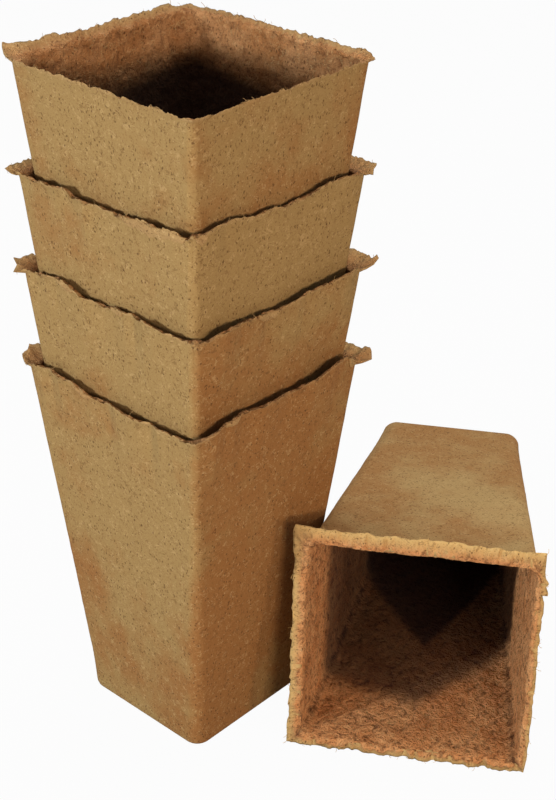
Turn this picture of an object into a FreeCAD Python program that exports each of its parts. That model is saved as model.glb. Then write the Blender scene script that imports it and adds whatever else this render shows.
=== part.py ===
import FreeCAD, Part
import math
import os

import Sketcher

# Five square plant pots of moulded peat and wood-fibre pulp. Four stand nested as a tower, and the
# fifth lies on its side against the tower's right corner. Every pot is one layer of felted fibre:
# wall, foot, floor, rim lip and the ragged ears of flash at its corners are one solid.
#
# Millimetres, +Z up. The origin is the middle of the bottom pot's base. The tower's sides run along
# X and Y, and it is seen from -X -Y: its front corner is at -X -Y, its right one at +X -Y and its
# left one at -X +Y. The lying pot's mouth faces -X -Y.

SIZES = (
    ("rim_width", 100.0, "outside of the wall at the rim, across the flats"),
    ("base_width", 70.5, "outside of the wall at the base, across the flats"),
    ("pot_height", 172.0, "from the base to the top of the rim"),
    ("foot_height", 22.0, "height of the steeper foot of the wall"),
    ("foot_flare", 1.45, "how far each side of the foot leans out"),
    ("rim_wall", 1.6, "thickness of the wall at the rim"),
    ("base_wall", 3.0, "thickness of the wall at the base"),
    ("floor_thickness", 3.0, "thickness of the floor"),
    ("rim_corner_radius", 3.5, "outer corner at the rim"),
    ("base_corner_radius", 7.0, "outer corner at the base"),
    ("mouth_corner_radius", 8.0, "inner corner at the rim"),
    ("cavity_corner_radius", 7.0, "inner corner from the floor to the seat of a nested pot"),
    ("base_edge_radius", 2.5, "rounding of the base's edge"),
    ("floor_fillet_radius", 3.0, "rounding between floor and wall inside"),
    ("rim_gap", 2.2, "gap from a pot's rim to the wall of the pot nested in it"),
    ("second_rise", 0.8, "how far the second pot stays above its deepest place in the bottom one"),
    ("third_rise", 0.1, "the same for the third pot in the second one"),
    ("top_rise", 4.2, "the same for the top pot in the third one"),
    ("seat_clearance", 0.3, "gap at each side of a nested pot's base"),
    ("lip_thickness", 1.8, "thickness of the rim lip"),
    ("lip_width", 1.6, "overhang of a trimmed lip beyond the wall"),
    ("ear_length", 6.0, "overhang of a full ear, along each side of its corner"),
    ("under_lip_width", 3.5, "overhang of the lying pot's lip underneath"),
    ("right_lip_width", 3.0, "overhang of the lying pot's lip on the right, seen from its mouth"),
    ("top_lip_width", 7.4, "overhang of the lying pot's lip on top"),
    ("left_lip_width", 5.5, "overhang of the lying pot's lip on the left"),
    ("lying_turn", 58.2, "turn of the lying pot about the vertical, in degrees"),
    ("lying_station", 134.3, "distance from the lying pot's base to where it passes the tower's corner"),
    ("lying_gap", 0.7, "gap between the lying pot and the tower's corner"),
    ("cut_overrun", 2.0, "how far a cut runs past the face that it opens"),
)

TOWER = ("bottom_pot", "second_pot", "third_pot", "top_pot")
RISES = ("second_rise", "third_rise", "top_rise")
LYING = "lying_pot"

# Where the four points of a lip's side lie along it, as shares of half the rim's width.
ALONG_SHARES = (-0.7, -0.26, 0.2, 0.68)

# The torn outline of each lip, one row for each side and the corner that follows it, in the order
# -Y, +X, +Y, -X. First the overhang at the four points, as shares of that side's lip width. Then
# the points of the corner's ear, as shares of the ear's length: how far each reaches beyond the
# next side, and how far beyond this one.
LIP_SHARES = {
    "bottom_pot": (
        (
            (0.3, 0.2, 0.35, 0.25),
            ((-0.7, 0.1), (-0.1, 0.35), (0.8, 0.5), (1.3, 0.05), (1.1, -1.05), (1.05, -2.1)),
        ),
        ((0.9, 0.7, 0.9, 0.6), ((-0.7, 0.2), (0.45, 0.4), (0.2, -0.7))),
        ((0.8, 0.6, 0.9, 0.7), ((-2.0, 0.8), (-1.25, 1.3), (-0.4, 1.0), (-0.1, 0.5), (0.1, -0.3))),
        ((0.2, 0.35, 0.25, 0.3), ((-0.5, 0.05), (0.05, 0.05), (0.05, -0.5))),
    ),
    "second_pot": (
        (
            (0.25, 0.3, 0.2, 0.35),
            ((-0.8, 0.1), (-0.1, 0.2), (0.75, 0.33), (1.25, 0.25), (1.3, -0.9), (1.0, -2.0)),
        ),
        ((0.8, 0.9, 0.5, 0.8), ((-0.6, 0.2), (0.35, 0.35), (0.25, -0.6))),
        (
            (0.5, 0.8, 0.7, 0.9),
            ((-1.7, 0.75), (-0.75, 0.8), (-0.15, 1.0), (0.05, 0.35), (0.6, 0.12), (0.1, -0.5)),
        ),
        ((0.3, 0.2, 0.3, 0.2), ((-0.5, 0.05), (0.1, 0.05), (0.05, -0.5))),
    ),
    "third_pot": (
        ((0.2, 0.3, 0.25, 0.2), ((-0.8, 0.15), (0.3, 0.3), (0.87, 0.1), (0.8, -1.05), (0.7, -2.0))),
        ((0.9, 0.5, 0.8, 0.6), ((-0.7, 0.15), (0.4, 0.45), (0.15, -0.7))),
        ((0.7, 0.9, 0.6, 0.8), ((-2.3, 0.57), (-0.8, 0.5), (0.4, 0.55), (0.3, -0.2), (0.1, -0.7))),
        ((0.25, 0.3, 0.35, 0.25), ((-0.6, 0.1), (0.1, 0.1), (0.05, -0.6))),
    ),
    "top_pot": (
        ((0.2, 0.3, 0.2, 0.3), ((-0.7, 0.1), (0.1, 0.1), (0.4, -0.2), (0.5, -0.9))),
        ((1.8, 1.5, 1.0, 0.5), ((-0.8, 0.1), (0.1, 0.1), (0.2, -0.7))),
        ((1.9, 2.0, 2.2, 2.8), ((-1.4, 0.65), (-0.5, 0.9), (0.1, 0.3), (0.05, -0.6))),
        ((0.25, 0.2, 0.3, 0.2), ((-0.5, 0.05), (0.05, 0.05), (0.05, -0.5))),
    ),
    LYING: (
        ((1.0, 0.9, 0.95, 1.0), ((-0.5, 0.55), (0.45, 0.45), (0.5, -0.6))),
        ((1.0, 0.92, 1.05, 0.9), ((-0.7, 0.5), (1.1, 0.55), (1.2, -0.6))),
        ((1.0, 0.92, 1.04, 0.96), ((-0.6, 1.2), (0.9, 1.35), (0.9, -0.5))),
        ((0.95, 1.04, 0.92, 1.0), ((-0.6, 0.85), (0.4, 0.7), (0.55, -0.6))),
    ),
}

# Each side of a pot: the direction in which its outline runs, and the direction in which it faces.
SIDE_DIRECTIONS = (
    ((1, 0), (0, -1)),
    ((0, 1), (1, 0)),
    ((-1, 0), (0, 1)),
    ((0, -1), (-1, 0)),
)

# Sizes that follow from the others. Widths are across the flats. The wall leans by the foot's flare up
# to the foot's height, and from there straight to the rim. A nested pot can go down until its wall is
# rim_gap from the rim around it, which sets the least step from pot to pot. The cavity's seat is where
# its base then is, so it follows that base's width. The pots of the tower stay a little above that.
#
# The lying pot rests on the edge of its base and on its lip, which sets its tilt. Its side passes the
# tower's corner at lying_station. At that station it comes nearest where its flat side ends on top,
# pass_height above the ground, so the tower's half width and corner are taken at that height too.
# aside is how far its axis lies from the tower's axis, and ahead how far its base lies in front of
# it, both measured along the lying pot's own directions.
DERIVED = (
    ("foot_width", "sizes.base_width + 2 * sizes.foot_flare"),
    ("corner_slope", "(sizes.rim_corner_radius - sizes.base_corner_radius) / sizes.pot_height"),
    ("foot_corner", "sizes.base_corner_radius + corner_slope * sizes.foot_height"),
    ("foot_slope", "sizes.foot_flare / sizes.foot_height"),
    ("wall_slope", "(sizes.rim_width - foot_width) / 2 / (sizes.pot_height - sizes.foot_height)"),
    ("nest_pitch", "(sizes.rim_wall + sizes.rim_gap) / wall_slope"),
    ("floor_width", "sizes.base_width + 2 * (foot_slope * sizes.floor_thickness - sizes.base_wall)"),
    ("seat_width", "sizes.base_width + 2 * sizes.seat_clearance"),
    ("mouth_width", "sizes.rim_width - 2 * sizes.rim_wall"),
    ("cavity_slope", "(mouth_width - seat_width) / 2 / (sizes.pot_height - nest_pitch)"),
    ("cut_width", "mouth_width + 2 * cavity_slope * sizes.cut_overrun"),
    ("lip_reach", "(sizes.rim_width - sizes.base_width) / 2 + sizes.under_lip_width"),
    ("tilt", "atan(lip_reach / (sizes.pot_height - sizes.lip_thickness))"),
    ("station_half", "foot_width / 2 + wall_slope * (sizes.lying_station - sizes.foot_height)"),
    ("station_corner", "sizes.base_corner_radius + corner_slope * sizes.lying_station"),
    ("station_top", "(station_half - station_corner + sizes.base_width / 2) * cos(tilt * 1deg)"),
    ("pass_height", "station_top + sizes.lying_station * sin(tilt * 1deg)"),
    ("tower_half", "foot_width / 2 + wall_slope * (pass_height - sizes.foot_height)"),
    ("tower_corner", "sizes.base_corner_radius + corner_slope * pass_height"),
    ("turn_cos", "cos(sizes.lying_turn * 1deg)"),
    ("turn_sin", "sin(sizes.lying_turn * 1deg)"),
    ("tower_reach", "(tower_half - tower_corner) * (turn_cos + turn_sin) + tower_corner"),
    ("aside", "tower_reach + station_half + sizes.lying_gap"),
    ("base_back", "(sizes.lying_station - pass_height * sin(tilt * 1deg)) / cos(tilt * 1deg)"),
    ("ahead", "(tower_half - tower_corner) * (turn_cos - turn_sin) - base_back"),
    ("base_lift", "sizes.base_width / 2 * cos(tilt * 1deg)"),
    ("base_lean", "sizes.base_width / 2 * sin(tilt * 1deg)"),
)

# Where the lying pot's base centre is, and how the pot is turned.
LYING_PLACE = (
    "vector(derived.turn_cos; -derived.turn_sin; 0) * derived.aside"
    " + vector(-derived.turn_sin; -derived.turn_cos; 0) * (derived.ahead - derived.base_lean)"
    " + vector(0; 0; derived.base_lift)"
)
LYING_ROTATION = "rotationz(-sizes.lying_turn * 1deg) * rotationx(90deg - derived.tilt * 1deg)"

# Two places nearer than this are the same.
SAME_PLACE = 1e-6


def make_sheet(document):
    sheet = document.addObject("Spreadsheet::Sheet", "sizes")
    for row, (alias, value, meaning) in enumerate(SIZES, start=1):
        sheet.set(f"A{row}", meaning)
        sheet.set(f"B{row}", str(value))
        sheet.setAlias(f"B{row}", alias)
    document.recompute()
    derived = document.addObject("App::VarSet", "derived")
    for name, expression in DERIVED:
        derived.addProperty("App::PropertyFloat", name)
        derived.setExpression(name, expression)
    document.recompute()
    return {alias: sheet.get(alias) for alias, value, meaning in SIZES}


def new_sketch(body, name, height):
    """A sketch parallel to the base, at a height given as an expression."""
    sketch = body.newObject("Sketcher::SketchObject", f"{body.Name}_{name}")
    plane = next(feature for feature in body.Origin.OriginFeatures if feature.Role == "XY_Plane")
    sketch.AttachmentSupport = [(plane, "")]
    sketch.MapMode = "FlatFace"
    sketch.setExpression("AttachmentOffset.Base.z", height)
    return sketch


def set_size(sketch, constraint, expression):
    number = sketch.addConstraint(constraint)
    sketch.setExpression(f"Constraints[{number}]", expression)


def rounded_square(body, name, height, width, radius, sizes):
    """A square with round corners about the pot's axis. It is drawn at the rim's size, and its
    constraints then bring it to its own."""
    sketch = new_sketch(body, name, height)
    half = sizes["rim_width"] / 2
    corner = sizes["rim_corner_radius"]
    flat = half - corner
    up = FreeCAD.Vector(0, 0, 1)
    for side in range(4):
        turn = FreeCAD.Rotation(up, 90 * side)
        side_start = turn.multVec(FreeCAD.Vector(-flat, -half))
        side_end = turn.multVec(FreeCAD.Vector(flat, -half))
        circle = Part.Circle(turn.multVec(FreeCAD.Vector(flat, -flat)), up, corner)
        arc_start = math.radians(90 * (side - 1))
        sketch.addGeometry(Part.LineSegment(side_start, side_end))
        sketch.addGeometry(Part.ArcOfCircle(circle, arc_start, arc_start + math.radians(90)))
    for index in range(8):
        sketch.addConstraint(Sketcher.Constraint("Tangent", index, 2, (index + 1) % 8, 1))
    for line, direction in ((0, "Horizontal"), (2, "Vertical"), (4, "Horizontal"), (6, "Vertical")):
        sketch.addConstraint(Sketcher.Constraint(direction, line))
    for arc in (3, 5, 7):
        sketch.addConstraint(Sketcher.Constraint("Equal", 1, arc))
    sketch.addConstraint(Sketcher.Constraint("Equal", 0, 2))
    sketch.addConstraint(Sketcher.Constraint("Symmetric", 0, 1, 4, 1, -1, 1))
    set_size(sketch, Sketcher.Constraint("DistanceX", 6, 1, 2, 1, 2 * half), width)
    set_size(sketch, Sketcher.Constraint("Radius", 1, corner), radius)
    return sketch


def loft(body, kind, name, sketches):
    """Straight walls from each sketch to the next, added to the pot or cut from it."""
    feature = body.newObject(f"PartDesign::{kind}", f"{body.Name}_{name}")
    feature.Profile = sketches[0]
    feature.Sections = sketches[1:]
    feature.Ruled = True
    return feature


def lip_corners(lip_shares, lip_widths):
    """The corners of a lip's outline. Each coordinate is a sum of shares of named sizes."""
    corners = []
    for (run, out), (overhangs, ear), lip_width in zip(SIDE_DIRECTIONS, lip_shares, lip_widths):
        for along, overhang in zip(ALONG_SHARES, overhangs):
            corners.append([
                (((run[axis] * along + out[axis]) / 2, "rim_width"), (out[axis] * overhang, lip_width))
                for axis in (0, 1)
            ])
        for beyond_next, beyond_this in ear:
            corners.append([
                (
                    ((run[axis] + out[axis]) / 2, "rim_width"),
                    (run[axis] * beyond_next + out[axis] * beyond_this, "ear_length"),
                )
                for axis in (0, 1)
            ])
    return corners


def lip_outline(body, corners, sizes):
    """The closed, torn outline of a lip. Two distances from the axis hold each of its corners."""
    sketch = new_sketch(body, "lip_outline", "sizes.pot_height - sizes.lip_thickness")
    places = [
        FreeCAD.Vector(*[sum(share * sizes[alias] for share, alias in terms) for terms in corner])
        for corner in corners
    ]
    for index, place in enumerate(places):
        sketch.addGeometry(Part.LineSegment(place, places[(index + 1) % len(places)]))
    for index, (place, corner) in enumerate(zip(places, corners)):
        following = (index + 1) % len(places)
        sketch.addConstraint(Sketcher.Constraint("Coincident", index, 2, following, 1))
        for kind, value, terms in zip(("DistanceX", "DistanceY"), place, corner):
            text = " + ".join(f"({share:.4f}) * sizes.{alias}" for share, alias in terms)
            set_size(sketch, Sketcher.Constraint(kind, index, 1, value), text)
    return sketch


def round_edge(body, name, base, level, radius):
    """Rounds the closed edge of a pot that lies at one height."""
    chosen = [
        f"Edge{number}"
        for number, edge in enumerate(base.Shape.Edges, start=1)
        if all(abs(vertex.Z - level) < SAME_PLACE for vertex in edge.Vertexes)
    ]
    fillet = body.newObject("PartDesign::Fillet", f"{body.Name}_{name}")
    fillet.Base = (base, chosen)
    fillet.setExpression("Radius", radius)
    return fillet


def make_pot(document, name, lip_widths, sizes):
    """One moulded pot, standing on its base about the Z axis."""
    body = document.addObject("PartDesign::Body", name)
    body.Label = name
    loft(body, "AdditiveLoft", "wall", [
        rounded_square(body, "base", "0", "sizes.base_width", "sizes.base_corner_radius", sizes),
        rounded_square(body, "foot", "sizes.foot_height", "derived.foot_width", "derived.foot_corner", sizes),
        rounded_square(body, "rim", "sizes.pot_height", "sizes.rim_width", "sizes.rim_corner_radius", sizes),
    ])
    document.recompute()

    lip = body.newObject("PartDesign::Pad", f"{name}_lip")
    lip.Profile = lip_outline(body, lip_corners(LIP_SHARES[name], lip_widths), sizes)
    lip.setExpression("Length", "sizes.lip_thickness")
    document.recompute()

    inner = "sizes.cavity_corner_radius"
    cavity = loft(body, "SubtractiveLoft", "cavity", [
        rounded_square(body, "floor", "sizes.floor_thickness", "derived.floor_width", inner, sizes),
        rounded_square(body, "seat", "derived.nest_pitch", "derived.seat_width", inner, sizes),
        rounded_square(
            body, "mouth", "sizes.pot_height + sizes.cut_overrun", "derived.cut_width",
            "sizes.mouth_corner_radius", sizes,
        ),
    ])
    document.recompute()

    floor = sizes["floor_thickness"]
    rounded = round_edge(body, "floor_fillet", cavity, floor, "sizes.floor_fillet_radius")
    document.recompute()
    round_edge(body, "base_edge", rounded, 0.0, "sizes.base_edge_radius")
    document.recompute()
    return body


def check(document, bodies):
    """Stops if a feature failed or a pot is not one sound solid."""
    for item in document.Objects:
        if "Invalid" in item.State or "Error" in item.State:
            raise RuntimeError(f"{item.Name} failed: {item.State}")
    for body in bodies:
        shape = body.Shape
        if shape.isNull() or not shape.isValid() or len(shape.Solids) != 1:
            raise RuntimeError(f"{body.Label} is not one valid solid")
        box = shape.optimalBoundingBox()
        print(f"{body.Label}: {shape.Volume:.0f} cubic mm, {box.ZMin:.2f} to {box.ZMax:.2f} high")


def main():
    document = FreeCAD.newDocument("peat_pots")
    sizes = make_sheet(document)
    bodies = []
    for level, name in enumerate(TOWER):
        pot = make_pot(document, name, ["lip_width"] * 4, sizes)
        steps = [f"derived.nest_pitch + sizes.{rise}" for rise in RISES[:level]]
        pot.setExpression("Placement.Base.z", " + ".join(steps) or "0")
        bodies.append(pot)
    lying_lips = ["under_lip_width", "right_lip_width", "top_lip_width", "left_lip_width"]
    pot = make_pot(document, LYING, lying_lips, sizes)
    pot.setExpression("Placement", f"placement({LYING_PLACE}; {LYING_ROTATION})")
    bodies.append(pot)
    document.recompute()

    check(document, bodies)
    neighbours = list(zip(bodies, bodies[1:len(TOWER)])) + [(bodies[0], pot)]
    for first, second in neighbours:
        print(f"{first.Label} to {second.Label}: {first.Shape.distToShape(second.Shape)[0]:.3f} mm")
    os.makedirs("parts", exist_ok=True)
    for body in bodies:
        body.Shape.exportStep(f"parts/{body.Label}.step")


main()
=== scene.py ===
import math

import bpy
import numpy as np
from mathutils import Matrix, Vector


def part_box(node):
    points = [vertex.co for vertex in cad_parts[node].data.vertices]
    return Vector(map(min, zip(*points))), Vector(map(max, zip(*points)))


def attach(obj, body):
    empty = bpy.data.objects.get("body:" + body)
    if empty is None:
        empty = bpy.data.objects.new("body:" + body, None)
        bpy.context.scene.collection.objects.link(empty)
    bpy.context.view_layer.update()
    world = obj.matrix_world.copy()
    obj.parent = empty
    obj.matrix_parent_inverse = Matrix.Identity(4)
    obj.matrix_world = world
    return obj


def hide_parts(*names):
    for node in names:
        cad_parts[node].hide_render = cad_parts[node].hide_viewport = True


# Five square plant pots of moulded peat and wood-fibre pulp: four nested as a tower, and one lying on
# its side against the tower's right corner. Metres, +Z up. Lengths in the tables are in millimetres.

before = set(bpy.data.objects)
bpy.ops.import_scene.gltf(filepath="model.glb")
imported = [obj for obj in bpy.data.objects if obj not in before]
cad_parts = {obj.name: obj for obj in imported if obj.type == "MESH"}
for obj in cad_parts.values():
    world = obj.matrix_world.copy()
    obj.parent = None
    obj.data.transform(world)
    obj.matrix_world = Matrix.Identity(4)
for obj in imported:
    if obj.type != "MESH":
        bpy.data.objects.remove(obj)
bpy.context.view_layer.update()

MM = 0.001

# The sizes of a pot that others follow from, in millimetres.
RIM_WIDTH, BASE_WIDTH, POT_HEIGHT = 100.0, 70.5, 172.0
FOOT_HEIGHT, FOOT_FLARE = 22.0, 1.45
RIM_WALL, LIP_THICKNESS = 1.6, 1.8
BOWED_HEIGHT = 34.0

# How much a pot's wall leans out, for each millimetre up.
WALL_LEAN = (RIM_WIDTH - BASE_WIDTH - 2 * FOOT_FLARE) / 2 / (POT_HEIGHT - FOOT_HEIGHT)

# A nested pot goes down until its wall is this gap from the rim around it, and its base has this
# clearance there, in the seat of the pot below.
RIM_GAP = 2.2
SEAT_CLEARANCE = 0.3

# A pot's sizes, named as the moulding tree's inputs.
POT_SIZES = {
    "Rim Width": RIM_WIDTH,
    "Base Width": BASE_WIDTH,
    "Pot Height": POT_HEIGHT,
    "Foot Height": FOOT_HEIGHT,
    "Foot Flare": FOOT_FLARE,
    "Rim Wall": RIM_WALL,
    "Base Wall": 3.0,
    "Floor Thickness": 3.0,
    "Rim Corner": 3.5,
    "Base Corner": 7.0,
    "Mouth Corner": 8.0,
    "Cavity Corner": 7.0,
    "Base Edge": 2.5,
    "Floor Fillet": 3.0,
    "Seat Height": (RIM_WALL + RIM_GAP) / WALL_LEAN,
    "Seat Width": BASE_WIDTH + 2 * SEAT_CLEARANCE,
    "Lip Thickness": LIP_THICKNESS,
    "Torn Thickness": 0.5,
    "Mouth Flare": 0.7,
    "Mouth Drop": 2.6,
    "Bowed Height": BOWED_HEIGHT,
    # Painted shade: from how far below the rim a cavity's colour is painted dark, by how far it is fully
    # dark, and how that depth spreads to the sides, slants and leans; then the same for a lighter painted
    # shade before it. In the nested pots the dark is painted from about the rim down, to darken the gaps
    # between them.
    "Dark From": -2.0,
    "Dark By": 8.0,
    "Dark Spread": 0.0,
    "Dark Slant": 0.0,
    "Dark Lean": 0.0,
    "Shade From": 100.0,
    "Shade By": 120.0,
    "Shade Spread": 0.0,
    "Shade Slant": 0.0,
    "Outer Relief": 0.22,
    "Inner Relief": 0.35,
    "Ridge Relief": 0.0,
    "Rim Raggedness": 0.95,
    "Strand Length": 2.6,
    "Strand Thickness": 0.16,
}

# What differs in the two pots whose cavities are open to view: the mouth, rougher walls, and how deep they
# are lit, which is painted shade: how far down their colour is painted dark.
OPEN_CAVITIES = {
    "top_pot": {
        "Mouth Flare": 1.2,
        "Mouth Drop": 4.0,
        "Inner Relief": 0.6,
        "Ridge Relief": 0.4,
        "Rim Raggedness": 0.7,
        "Dark From": 25.0,
        "Dark By": 34.0,
        "Dark Slant": -5.0,
        "Dark Lean": -5.0,
    },
    "lying_pot": {
        "Mouth Flare": 2.6,
        "Mouth Drop": 3.0,
        "Mouth Corner": 5.0,
        "Cavity Corner": 5.0,
        "Torn Thickness": 1.2,
        "Inner Relief": 0.7,
        "Ridge Relief": 0.6,
        "Rim Raggedness": 1.0,
        "Dark From": 54.0,
        "Dark By": 82.0,
        "Dark Spread": 66.0,
        "Dark Slant": 12.0,
        "Shade From": 24.0,
        "Shade By": 40.0,
        "Shade Spread": 30.0,
        "Shade Slant": 19.0,
    },
}

# How dark the painted shade is that comes before the painted dark part of a cavity.
SHADE_STRENGTH = 0.78

# Painted light on the two sides in view of each pot: how much paler and more khaki each is painted for the
# light that falls on it, or more orange where that is negative: the left one, then the right one.
PAINTED_SIDE_LIGHT = {
    "bottom_pot": (0.06, -0.12),
    "second_pot": (0.07, -0.06),
    "third_pot": (0.08, 0.14),
    "top_pot": (0.06, -0.01),
    "lying_pot": (0.04, 0.04),
}

# How much less khaki a pot is at its base than at its rim.
BASE_TONE_SHIFT = 0.06

TOWER = ("bottom_pot", "second_pot", "third_pot", "top_pot")
LYING = "lying_pot"

# The lying pot is turned about the vertical by so many degrees, and tipped onto the lip under it, which
# passes the wall by so many millimetres. What would reach through the ground is pressed to a share of
# its depth there.
LYING_TURN = 58.2
UNDER_LIP = 3.5
LYING_TILT = math.atan(((RIM_WIDTH - BASE_WIDTH) / 2 + UNDER_LIP) / (POT_HEIGHT - LIP_THICKNESS))
PRESSED_SHARE = 0.05

# Strands of fibre that stand out of each square metre of the shell, where it is torn by this much.
STRAND_DENSITY = 9e4
STRANDS_FROM = 0.7

# How torn, and so how pale, the strips of lip and the strands are. The edge of a rim is torn by 1.
STRIP_TORN, STRAND_TORN = 1.1, 1.3

# How far apart in metres the pots lie in the noise that their relief is taken from.
NOISE_SHIFT = 0.7

# Points of the shell that are nearer than this are one, in metres, as where its skin closes.
SAME_POINT = 1e-7

# Columns of the shell's skin on each side of a pot, and how much closer they stand at the corners.
SIDE_COLUMNS = 140
CORNER_CROWDING = 0.55

# The sides in order -Y, +X, +Y, -X: the way each runs, and the way it faces.
SIDE_WAYS = (((1, 0), (0, -1)), ((0, 1), (1, 0)), ((-1, 0), (0, 1)), ((0, -1), (-1, 0)))

# The torn edge of each rim. Each side has its usual overhang and lift, and each corner that follows
# it its ear, point by point: how far along the rim from the corner, how far beyond the next side, how
# far beyond this one, and how high above the rim.
RIMS = {
    "bottom_pot": (
        (0.3, 0.1, ((-7, -7, 0.4, 0.0), (-3, -3, 0.8, 0.0), (-1.2, -0.7, 2.0, 0.0), (0, 4.7, 3.0, 0.9),
                    (1.5, 7.4, 0.5, 2.4), (2.2, 7.6, -0.6, 3.6), (6.3, 6.2, -6.3, 3.0),
                    (13, 5.5, -13, 2.8), (20, 1.5, -20, 0.6))),
        (1.1, 0.3, ((-6, -6, 1.2, 0.4), (0, 2.6, 2.3, 1.0), (6, 1.2, -6, 0.3))),
        (1.0, 0.4, ((-18, -18, 1.4, 0.8), (-12, -12, 4.4, 3.6), (-7.5, -8.0, 7.6, 4.4),
                    (-5.5, -5.5, 5.6, 3.2), (-2.5, -2.6, 6.0, 3.2), (-0.8, -1.2, 4.2, 1.6),
                    (0, -0.5, 2.6, 0.6), (1, 0.5, 0.2, 0.0), (4, 0.3, -4, 0.0))),
        (0.3, 0.0, ((-4, -4, 0.3, 0.0), (0, 0.3, 0.3, -0.2), (4, 0.3, -4, 0.0))),
    ),
    "second_pot": (
        (0.3, 0.1, ((-7, -7, 0.3, 0.0), (-3.5, -3.2, 0.6, -0.3), (-1.2, -0.8, 1.4, 0.0),
                    (0, 4.4, 1.9, 1.3), (1.0, 7.2, 2.0, 3.4), (1.8, 8.0, 0.3, 4.2), (2.8, 6.6, -1.4, 2.4),
                    (5.4, 7.8, -5.4, 3.5), (12, 5.8, -12, 3.4), (20, 1.4, -20, 0.5))),
        (1.2, 0.3, ((-6, -6, 1.0, 0.2), (0, 2.0, 2.1, 0.8), (6, 1.4, -6, 0.3))),
        (1.1, 0.3, ((-18, -18, 1.4, 0.6), (-10, -10.1, 4.4, 2.9), (-4.3, -4.3, 4.9, 3.0),
                    (-2.4, -1.2, 6.1, 4.0), (-1.0, 0.1, 2.2, 2.0), (0, 1.9, 1.5, 0.9), (0.8, 3.6, 0.7, 0.0),
                    (1.8, 0.9, -1.0, 0.0), (4, 0.3, -4, 0.0))),
        (0.3, 0.0, ((-4, -4, 0.3, 0.0), (0, 0.5, 0.3, -0.2), (4, 0.3, -4, 0.0))),
    ),
    "third_pot": (
        (0.3, 0.0, ((-7, -7, 0.3, 0.0), (-2.5, -2.4, 0.7, 0.0), (-1.0, 0.2, 0.9, -0.2),
                    (-0.3, 1.5, 1.5, -0.8), (0.3, 2.6, 0.7, 0.6), (1.2, 5.2, 0.3, 1.7),
                    (6.4, 4.7, -6.4, 2.5), (12, 4.2, -12, 2.5), (20, 1.2, -20, 0.5))),
        (1.3, 0.3, ((-6, -6, 1.0, 0.2), (0, 2.2, 2.5, 1.0), (6, 1.0, -6, 0.3))),
        (1.2, 0.3, ((-22, -22, 1.2, 0.4), (-14, -14.1, 3.4, 2.2), (-5, -5, 3.0, 2.2),
                    (-1.5, -0.5, 3.2, 2.0), (0, 2.2, 3.2, 1.9), (1.2, 1.8, 0.4, 1.0),
                    (2.6, 1.3, -1.6, 0.4), (6, 0.4, -6, 0.0))),
        (0.4, 0.0, ((-4, -4, 0.4, 0.0), (0, 0.5, 0.5, -0.3), (4, 0.3, -4, 0.0))),
    ),
    "top_pot": (
        (0.3, 0.1, ((-7, -7, 0.3, 0.2), (-2, -2, 0.4, 0.2), (0, 0.6, 0.5, 0.0), (2, 2.2, -1.2, 0.2),
                    (5.5, 3.1, -5.5, 1.2), (17, 2.9, -17, 1.3))),
        (1.0, 1.5, ((-16, -16, 0.8, 1.2), (-6, -6, 0.6, 0.8), (0, 0.4, 0.4, 0.8), (8, 1.0, -8, 1.4))),
        (1.3, 2.7, ((-29, -29, 1.6, 3.4), (-21.5, -21.5, 2.6, 4.0), (-17, -17, 1.4, 3.2),
                    (-9, -9, 2.4, 3.5), (-5.2, -5.0, 4.2, 3.6), (-3.6, -3.6, 6.8, 4.4),
                    (-2.4, -2.2, 5.4, 2.8), (0, -0.2, 2.2, 1.0), (1.2, 0.4, -0.2, 0.1), (4, 0.3, -4, 0.0))),
        (0.3, 0.2, ((-4, -4, 0.3, 0.1), (0, 0.3, 0.3, 0.0), (4, 0.3, -4, 0.1))),
    ),
    "lying_pot": (
        (3.3, 0.0, ((-4, -4, 3.0, 0.0), (0, 2.2, 2.8, 0.0), (4, 3.0, -4, 0.0))),
        (2.9, 0.0, ((-16, -16, 3.0, 0.0), (-12.5, -12.4, 1.6, 0.0), (-11.5, -12.2, 4.4, 0.0),
                    (-9, -8.6, 3.0, 0.0), (-6, -6.4, 4.0, 0.0), (-4.5, -4.4, 2.4, 0.0), (-2, -2, 1.9, 0.0),
                    (0, 7.2, 1.8, 0.0), (4, 7.2, -4, 0.0))),
        (7.2, 0.0, ((-5, -5, 7.2, 0.2), (-1.5, -1.0, 7.6, 0.4), (0, 5.0, 8.4, 1.0), (1.5, 5.8, 5.4, 0.6),
                    (6, 5.4, -6, 0.0))),
        (4.7, 0.0, ((-5, -5, 5.0, 0.0), (0, 3.2, 4.8, 0.0), (5, 3.3, -5, 0.0))),
    ),
}

# How a rim bends on one side of a pot: the distance from the side's start, how far the wall bows out
# there, or in where that is negative, and how far the rim stands up. The plain side serves where no
# bend shows.
PLAIN_SIDE = ((0, 0, 0), (30, 0.3, 0), (70, -0.3, 0), (97, 0, 0))

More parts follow.
